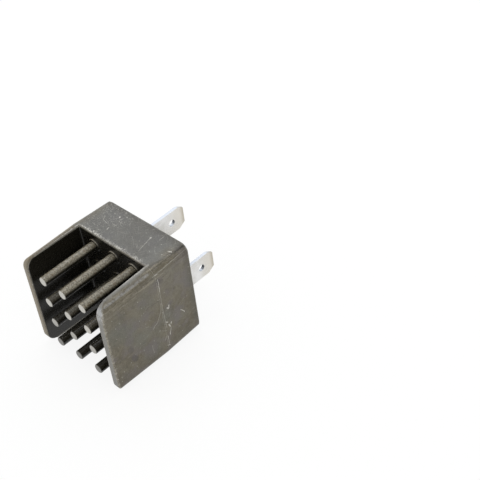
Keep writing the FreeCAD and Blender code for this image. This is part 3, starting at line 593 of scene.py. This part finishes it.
def lacquered_board():
    """Glass-epoxy laminate, routed out, under green solder lacquer: glossy over a fine weave.

    The copper areas show through the lacquer as a paler green: one under the transistor, one on
    each side of it and one by the supply blade. The routed edges show the laminate's straw
    colour. The cloth's threads are drawn 1 mm apart, coarser than real, so that they show.
    """
    material, node, place = blank("lacquered_board")
    spot = node("ShaderNodeSeparateXYZ", {0: place}).node.outputs
    threads = [
        node("ShaderNodeTexWave", {"Vector": place, "Scale": 0.31, "Distortion": 0.4},
             1, wave_type="BANDS", bands_direction=axis)
        for axis in "XZ"
    ]
    weave = node(MATH, {0: threads[0], 1: threads[1]}, **TIMES)
    aside = node(MATH, {0: spot["X"]}, operation="ABSOLUTE")
    power_copper = zone(node, (aside, 4.2, 4.1), (spot["Z"], 1.9, 1.8))
    side_copper = zone(node, (aside, 6.9, 7.0), (spot["Z"], -5.3, -5.2), (spot["Z"], 1.5, 1.4))
    supply_copper = zone(node, (aside, 3.0, 2.9), (spot["Z"], 6.6, 6.7))
    copper = strongest(node, power_copper, side_copper, supply_copper)
    inner_face = (spot["Y"], BOARD_INNER + 0.08, BOARD_INNER + 0.02)
    outer_face = (spot["Y"], BOARD_OUTER - 0.08, BOARD_OUTER - 0.02)
    lacquer = strongest(node, zone(node, inner_face), zone(node, outer_face))
    green = layered(node, "#14492b", (copper, "#2c7a46"),
                    (zone(node, (weave, 0.2, 1.0, 0.0, 0.25)), "#3c6b43"))
    colour = layered(node, "#b3a567", (lacquer, green))
    polish = node(RANGE, {0: lacquer, 1: 0.0, 2: 1.0, 3: 0.75, 4: 0.28})
    skin = node(BUMP, {"Height": copper, "Distance": 0.035 * MM})
    skin = node(BUMP, {"Height": weave, "Distance": 0.01 * MM, "Normal": skin})
    node(OUTPUT, {"Surface": node(SHADER, {
        "Base Color": colour, "Roughness": polish, "IOR": 1.5, "Normal": skin,
    })})
    return material


def chip_component(name, centre, body_colour, lid_colour, lid_depth):
    """A fired ceramic component with tinned ends; the lid is the face away from the board."""
    material, node, place = blank(name)
    spot = node("ShaderNodeSeparateXYZ", {0: place}).node.outputs
    offset = node(MATH, {0: spot["X"], 1: centre}, operation="SUBTRACT")
    reach = node(MATH, {0: offset}, operation="ABSOLUTE")
    ends = zone(node, (reach, TINNED_END, TINNED_END + 0.04))
    lid = zone(node, (spot["Y"], BOARD_INNER - lid_depth + 0.03, BOARD_INNER - lid_depth))
    grit = patches(node, place, 0.15, 0.3, 0.7, Detail=2.0)
    colour = layered(node, body_colour, (lid, lid_colour),
                     (zone(node, (grit, 0.0, 1.0, 0.0, 0.25)), "#8c857a"), (ends, "#cfcdc8"))
    polish = node(RANGE, {0: ends, 1: 0.0, 2: 1.0, 3: 0.5, 4: 0.32})
    skin = node(BUMP, {"Height": grit, "Distance": 0.01 * MM})
    node(OUTPUT, {"Surface": node(SHADER, {
        "Base Color": colour, "Metallic": ends, "Roughness": polish, "Normal": skin,
    })})
    return material


def worked_finish(name, colours, grain, relief, polish, stretch=(1, 1, 1), **surface):
    """A finish with one fine pattern, which sets its colour, its relief and its polish."""
    material, node, place = blank(name)
    pattern = patches(node, place, grain, 0.3, 0.7, stretch=stretch, Detail=2.0)
    cloud = patches(node, place, grain * 9, 0.4, 0.7, 0.0, 0.6, Detail=4.0)
    low, high, cloudy = colours
    colour = layered(node, low, (pattern, high), (cloud, cloudy))
    smooth, rough = polish
    dull = node(RANGE, {0: pattern, 1: 0.0, 2: 1.0, 3: smooth, 4: rough})
    skin = node(BUMP, {"Height": pattern, "Distance": relief * MM})
    inputs = {"Base Color": colour, "Roughness": dull, "Normal": skin, **surface}
    node(OUTPUT, {"Surface": node(SHADER, inputs)})
    return material


def inner_finishes():
    """The finishes of the plainer parts inside the cup, each under a CAD node that has it."""
    metal = {"Metallic": 1.0}
    return {
        # Tin-silver-copper solder, wave soldered: bright, with a faint frosted grain
        "solder_joints": worked_finish(
            "soft_solder", ("#c4c4c1", "#dcdbd8", "#a8a59c"), 0.25, 0.01, (0.2, 0.34), **metal),
        # Epoxy moulding compound, transfer moulded and filled with silica: black, dead matt
        "power_transistor_body": worked_finish(
            "epoxy_moulding", ("#18181a", "#232325", "#2b2a29"), 0.12, 0.012, (0.55, 0.7),
            IOR=1.55),
        # Copper strip, stamped and tinned: bright, with rolling lines along the board
        "power_transistor_tab": worked_finish(
            "tinned_copper", ("#c9c6c0", "#d9d6d1", "#bcae9f"), 0.1, 0.003, (0.25, 0.38),
            stretch=(1, 1, 30), **metal),
        # Silicone sheet on glass cloth, calendered: soft grey-blue and quite matt
        "thermal_pad": worked_finish(
            "silicone_sheet", ("#79838d", "#8d969e", "#9aa1a6"), 0.4, 0.02, (0.75, 0.85),
            IOR=1.41),
        # Cold-rolled spring steel, hardened and lightly oiled: grey with a straw tinge
        "transistor_clamp": worked_finish(
            "spring_steel", ("#7d7b77", "#96948f", "#86795f"), 0.12, 0.004, (0.28, 0.42),
            stretch=(1, 1, 40), **metal),
    }


def plated_screw():
    """Cold-headed steel, zinc plated and clear passivated: bright with a blue and straw tinge.

    Turning marks lie in rings round its axis, drawn coarser than real so that they show.
    """
    material, node, place = blank("zinc_plated_steel")
    centred = node(VECTOR, {0: place, 1: (SCREW[0], 0, SCREW[1])}, operation="SUBTRACT")
    across = node(VECTOR, {0: centred, 1: (1, 0, 1)}, **TIMES)
    radius = node(VECTOR, {0: across}, "Value", operation="LENGTH")
    turns = node(MATH, {0: radius, 1: 2 * math.pi / TURNING_PITCH}, **TIMES)
    turning = node(MATH, {0: turns}, operation="SINE")
    tinge = patches(node, place, 1.5, 0.35, 0.65, Detail=3.0)
    colour = layered(node, "#b4b9c2", (tinge, "#c6bfa8"))
    skin = node(BUMP, {"Height": turning, "Distance": 0.004 * MM})
    node(OUTPUT, {"Surface": node(SHADER, {
        "Base Color": colour, "Metallic": 1.0, "Roughness": 0.28, "Normal": skin,
    })})
    return material


def dress(material, *nodes):
    """Puts a material on CAD nodes."""
    for name in nodes:
        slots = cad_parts[name].data.materials
        slots.clear()
        slots.append(material)


def new_piece(name, mesh):
    """Makes a finished mesh a piece that rides on the part."""
    mesh.name = name
    piece = bpy.data.objects.new(name, mesh)
    bpy.context.collection.objects.link(piece)
    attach(piece, "root")


def grown(name, tree, sizes, shape=None):
    """Runs a node tree once, on a shape where it copies one, and keeps its result as a piece."""
    start_mesh = shape or bpy.data.meshes.new(f"{name}_start")
    start = bpy.data.objects.new(f"{name}_start", start_mesh)
    bpy.context.collection.objects.link(start)
    modifier = start.modifiers.new(name, "NODES")
    modifier.node_group = tree
    for item in tree.interface.items_tree:
        if item.in_out == "INPUT" and item.name in sizes:
            modifier[item.identifier] = sizes[item.name]
    graph = bpy.context.evaluated_depsgraph_get()
    mesh = bpy.data.meshes.new_from_object(start.evaluated_get(graph))
    start.modifiers.remove(modifier)
    bpy.data.objects.remove(start)
    new_piece(name, mesh)


def shape_tree(name, inputs):
    """An empty Geometry Nodes tree with named inputs, each with the kind of its socket."""
    tree = bpy.data.node_groups.new(name, "GeometryNodeTree")
    for label, kind in (("Geometry", "Geometry"), *inputs, ("Material", "Material")):
        tree.interface.new_socket(label, in_out="INPUT", socket_type=f"NodeSocket{kind}")
    tree.interface.new_socket("Geometry", in_out="OUTPUT", socket_type="NodeSocketGeometry")
    node = partial(add, tree)
    return tree, node, node("NodeGroupInput").node.outputs


def close_tree(node, geometry, material):
    """Ends a tree with real meshes that carry their material."""
    real = node("GeometryNodeRealizeInstances", {"Geometry": geometry})
    dressed = node("GeometryNodeSetMaterial", {"Geometry": real, "Material": material})
    node("NodeGroupOutput", {"Geometry": dressed})


def parting_flash(material):
    """The trimmed flash of the die: a thin broken bead round the casting at its parting plane."""
    tree, node, given = shape_tree("parting_flash", [
        (label, "Float") for label in
        ("Width", "Height", "Corner radius", "Plane", "Bead radius", "Wander", "Seed")
    ])
    outline = node("GeometryNodeCurvePrimitiveQuadrilateral",
                   {"Width": given["Width"], "Height": given["Height"]})
    rounded = node("GeometryNodeFilletCurve",
                   {"Curve": outline, "Count": 12, "Radius": given["Corner radius"]}, mode="POLY")
    fine = node("GeometryNodeResampleCurve", {"Curve": rounded, "Count": 900})
    upright = node("GeometryNodeTransform", {"Geometry": fine, "Rotation": (math.pi / 2, 0, 0)})
    place = node("GeometryNodeInputPosition")
    coarse, rough = (
        node(NOISE, {"Vector": place, "W": given["Seed"], "Scale": scale}, noise_dimensions="4D")
        for scale in (0.4 / MM, 2.5 / MM)
    )
    break_level = 0.44
    drift = node(MATH, {0: coarse, 1: 0.5}, operation="SUBTRACT")
    drift = node(MATH, {0: drift, 1: given["Wander"], 2: given["Plane"]}, operation="MULTIPLY_ADD")
    shift = node("ShaderNodeCombineXYZ", {"Y": drift})
    placed = node("GeometryNodeSetPosition", {"Geometry": upright, "Offset": shift})
    gone = node("FunctionNodeCompare", {0: rough, 1: break_level}, operation="LESS_THAN")
    broken = node("GeometryNodeDeleteGeometry", {"Geometry": placed, "Selection": gone},
                  domain="POINT")
    thickness = node(RANGE, {0: rough, 1: break_level, 2: 0.7, 3: 0.35, 4: 1.0})
    profile = node("GeometryNodeCurvePrimitiveCircle",
                   {"Resolution": 5, "Radius": given["Bead radius"]})
    bead = node("GeometryNodeCurveToMesh", {
        "Curve": broken, "Profile Curve": profile, "Scale": thickness, "Fill Caps": True,
    })
    close_tree(node, bead, given["Material"])
    grown("parting_flash", tree, {
        "Width": 2 * OUTER_X * MM, "Height": 2 * OUTER_Z * MM,
        "Corner radius": CORNER_RADIUS * MM, "Plane": PARTING * MM, "Bead radius": FLASH_BEAD * MM,
        "Wander": 0.25 * MM, "Seed": 3.0, "Material": material,
    })


def copies_tree():
    """Copies of one shape at the points of an upright grid, each smaller by up to a share."""
    tree, node, given = shape_tree("copies_in_a_grid", [
        ("Columns", "Int"), ("Rows", "Int"), ("Width", "Float"), ("Height", "Float"),
        ("Centre", "Vector"), ("Unevenness", "Float"), ("Seed", "Int"),
    ])
    grid = node("GeometryNodeMeshGrid", {
        "Size X": given["Width"], "Size Y": given["Height"],
        "Vertices X": given["Columns"], "Vertices Y": given["Rows"],
    })
    upright = node("GeometryNodeTransform", {
        "Geometry": grid, "Translation": given["Centre"], "Rotation": (math.pi / 2, 0, 0),
    })
    smallest = node(MATH, {0: 1.0, 1: given["Unevenness"]}, operation="SUBTRACT")
    change = node("FunctionNodeRandomValue",
                  {"Min": 0.0, "Max": 1.0, "Seed": given["Seed"]}, 1, data_type="FLOAT")
    share = node(RANGE, {0: change, 3: smallest, 4: 1.0})
    copies = node("GeometryNodeInstanceOnPoints", {
        "Points": upright, "Instance": given["Geometry"], "Scale": share,
    })
    close_tree(node, copies, given["Material"])
    return tree


def rows_of_rings(name, profile, corners, hole=True):
    """A mesh from closed rings: profile gives each one's reach and level, corners its outline.

    With a hole the last ring joins the first one, and without it both are closed by a face.
    """
    mesh = bpy.data.meshes.new(name)
    shape = bmesh.new()
    rings = []
    for reach, level in profile:
        rings.append([shape.verts.new((x * MM, level * MM, z * MM)) for x, z in corners(reach)])
    for ring, following in zip(rings, rings[1:] + (rings[:1] if hole else [])):
        for index, corner in enumerate(ring):
            after = (index + 1) % len(ring)
            shape.faces.new((corner, ring[after], following[after], following[index]))
    if not hole:
        shape.faces.new(rings[0])
        shape.faces.new(rings[-1])
    bmesh.ops.recalc_face_normals(shape, faces=shape.faces)
    shape.to_mesh(mesh)
    shape.free()
    return mesh


def round_outline(sides):
    """Corners of a ring of a given radius, for a number of sides."""
    def corners(radius):
        return [(radius * math.cos(2 * math.pi * side / sides),
                 radius * math.sin(2 * math.pi * side / sides)) for side in range(sides)]
    return corners


def box_outline(wide, high):
    """Corners of a rectangle with cut corners that stands a given reach outside wide by high."""
    def corners(reach):
        cut = max(0.05, reach * 0.6)
        half_x, half_z = wide / 2 + reach, high / 2 + reach
        return [
            (half_x, -half_z + cut), (half_x, half_z - cut), (half_x - cut, half_z),
            (-half_x + cut, half_z), (-half_x, half_z - cut), (-half_x, -half_z + cut),
            (-half_x + cut, -half_z), (half_x - cut, -half_z),
        ]
    return corners


def blade_seals(material):
    """The resin that has crept up round each blade where it leaves the base, to 0.3 to 0.45 mm."""
    mesh = bpy.data.meshes.new("blade_seals")
    joined = bmesh.new()
    random.seed(11)
    for across, up, turned in BLADES.values():
        wide, high = (BLADE_WIDTH, BLADE_THICKNESS) if turned else (BLADE_THICKNESS, BLADE_WIDTH)
        creep = random.uniform(0.3, 0.45)
        profile = [(-0.05, creep), (0.02, creep), (0.06, creep * 0.5), (0.16, creep * 0.22),
                   (creep * 1.1, 0.02), (creep * 1.2, -0.02), (-0.05, -0.02)]
        seal = rows_of_rings("seal", profile, box_outline(wide, high))
        seal.transform(Matrix.Translation(Vector((across, 0, up)) * MM))
        joined.from_mesh(seal)
    joined.to_mesh(mesh)
    joined.free()
    mesh.materials.append(material)
    new_piece("blade_seals", mesh)


def repeated_pieces(nylon, tin, solder):
    """What repeats in rows: ejector rings, vias, solder at the leads and caps on the chips."""
    tree = copies_tree()
    ring = rows_of_rings("ejector_ring", [(1.25, 0.0), (1.28, 0.05), (1.34, 0.05), (1.37, 0.0)],
                         round_outline(32))
    via = rows_of_rings("via", [(0.2, 0.0), (0.2, -0.05), (0.38, -0.05), (0.42, 0.0)],
                        round_outline(12))
    foot = rows_of_rings("foot", [(0.22, 0.0), (0.16, -0.08), (0.07, -0.17), (0.02, -0.2)],
                         box_outline(0.5, 0.3), hole=False)
    cap = rows_of_rings("cap", [(0.03, 0.01), (0.05, -0.02), (0.05, -0.6), (0.02, -0.64)],
                        box_outline(0.42, 1.6), hole=False)
    tall_cap = rows_of_rings("tall_cap", [(0.03, 0.01), (0.05, -0.02), (0.05, -1.82), (0.02, -1.86)],
                             box_outline(0.42, 2.5), hole=False)
    for name, shape, grid, span, centre, uneven, material, slot in (
        ("ejector_rings", ring, (2, 2), (14.6, 13.6), (0, 0, -1.8), 0.0, nylon,
         "black_moulded_nylon"),
        ("board_vias", via, (4, 2), (4.2, 1.3), (0, BOARD_INNER, -7.9), 0.1, tin, "solder"),
        ("lead_joints", foot, (2, 4), (5.5, 3.81), (CHIP[0], BOARD_INNER, CHIP[1]), 0.15, solder,
         "solder"),
        ("resistor_caps", cap, (2, 2), (2.8, 2.6), (RESISTORS[0], BOARD_INNER, RESISTORS[1]),
         0.0, tin, "tinned_copper"),
        ("capacitor_caps", tall_cap, (2, 1), (2.8, 0), (CAPACITOR[0], BOARD_INNER, CAPACITOR[1]),
         0.0, tin, "tinned_copper"),
    ):
        grown(name, tree, {
            "Columns": grid[0], "Rows": grid[1], "Width": span[0] * MM, "Height": span[1] * MM,
            "Centre": Vector(centre) * MM, "Unevenness": uneven, "Seed": 5, "Material": material,
        }, shape)


def area_light(name, place, aim, size, power, colour):
    """A soft box at a place, turned to what it lights; all in millimetres and watts."""
    lamp = bpy.data.lights.new(name, "AREA")
    lamp.shape = "RECTANGLE"
    lamp.size, lamp.size_y = (side * MM for side in size)
    lamp.energy = power
    lamp.color = linear(colour)[:3]
    box = bpy.data.objects.new(name, lamp)
    box.location = Vector(place) * MM
    box.rotation_mode = "QUATERNION"
    box.rotation_quaternion = (Vector(aim) - Vector(place)).to_track_quat("-Z", "Y")
    bpy.context.collection.objects.link(box)


def photo_camera():
    """The camera at the photograph's angle and distance."""
    lens = bpy.data.cameras.new("camera")
    lens.lens = CAMERA_LENS
    lens.sensor_width = SENSOR
    lens.clip_start = CAMERA_CLIP * MM
    camera = bpy.data.objects.new("camera", lens)
    view = Vector(CAMERA_AIM) - Vector(CAMERA_PLACE)
    camera.location = Vector(CAMERA_PLACE) * MM
    camera.rotation_mode = "QUATERNION"
    roll = Quaternion((0, 0, 1), math.radians(CAMERA_ROLL))
    camera.rotation_quaternion = view.to_track_quat("-Z", "Y") @ roll
    bpy.context.collection.objects.link(camera)
    bpy.context.scene.camera = camera


def seen_directly(node):
    """1 for camera, glossy and transmission rays, and 0 for the rays that light the object."""
    rays = node("ShaderNodeLightPath").node.outputs
    kinds = ("Is Camera Ray", "Is Glossy Ray", "Is Transmission Ray")
    return strongest(node, *(rays[kind] for kind in kinds))


def floor_paper():
    """White paper: seen or reflected, it is mostly lit from within, which thins the shadow."""
    material, node, place = blank("floor_paper")
    fibres = patches(node, place, 2.0, 0.3, 0.7, Detail=3.0)
    colour = layered(node, "#f2f2f0", (fibres, "#f4f4f2"))
    matt = node(SHADER, {"Base Color": colour, "Roughness": 0.9})
    glow = node("ShaderNodeEmission", {"Color": "#ffffff", "Strength": 1.0})
    share = node(MATH, {0: seen_directly(node), 1: FLOOR_GLOW}, **TIMES)
    node(OUTPUT, {"Surface": node("ShaderNodeMixShader", {0: share, 1: matt, 2: glow})})
    return material


def studio():
    """Pale floor, white surroundings and one soft box overhead."""
    half = FLOOR_HALF * MM
    level = cad_bounds[0].z - FLASH_BEAD * MM
    mesh = bpy.data.meshes.new("floor")
    outline = ((-half, -half), (half, -half), (half, half), (-half, half))
    corners = [(x, y, level) for x, y in outline]
    mesh.from_pydata(corners, [], [(0, 1, 2, 3)])
    mesh.materials.append(floor_paper())
    floor = bpy.data.objects.new("floor", mesh)
    bpy.context.collection.objects.link(floor)

    # A white studio: full white where it is seen, STUDIO_LIGHT where it lights
    world = bpy.data.worlds.new("surroundings")
    world.use_nodes = True
    world.node_tree.nodes.clear()
    node = partial(add, world.node_tree)
    strength = node(RANGE, {0: seen_directly(node), 3: STUDIO_LIGHT, 4: 1.0})
    sky = node("ShaderNodeBackground", {"Color": "#ffffff", "Strength": strength})
    node("ShaderNodeOutputWorld", {"Surface": sky})
    bpy.context.scene.world = world

    area_light("overhead_box", BOX_PLACE, BOX_AIM, BOX_SIZE, BOX_POWER, "#f1f6ff")
    bpy.context.scene.view_settings.view_transform = "Standard"


def dress_parts():
    """Gives every CAD node its finish, and adds the pieces that are too fine for the CAD."""
    nylon, resin, tin = moulded_nylon(), cast_resin(), tinned_blade()
    dress(coated_casting(), "heat_sink_housing")
    dress(nylon, "base_plate")
    dress(resin, "sealing_bead")
    dress(tin, *BLADES)
    dress(lacquered_board(), "circuit_board")
    dress(plated_screw(), "clamp_screw")
    finishes = inner_finishes()
    for name, finish in finishes.items():
        dress(finish, name)
    dress(finishes["power_transistor_body"], "driver_chip_body", "suppression_diode")
    dress(finishes["power_transistor_tab"], "power_transistor_leads", "driver_chip_leads")
    # Thick-film resistors on white alumina under a black glaze
    dress(chip_component("fired_alumina", RESISTORS[0], "#e2dfd7", "#1a1a1c", 0.6),
          "gate_resistor", "bias_resistor")
    # A layered ceramic capacitor, fired to a plain tan
    dress(chip_component("fired_titanate", CAPACITOR[0], "#9a7d55", "#9a7d55", 1.8),
          "filter_capacitor")
    parting_flash(trimmed_metal())
    blade_seals(resin)
    repeated_pieces(nylon, finishes["power_transistor_tab"], finishes["solder_joints"])


photo_camera()
studio()
dress_parts()
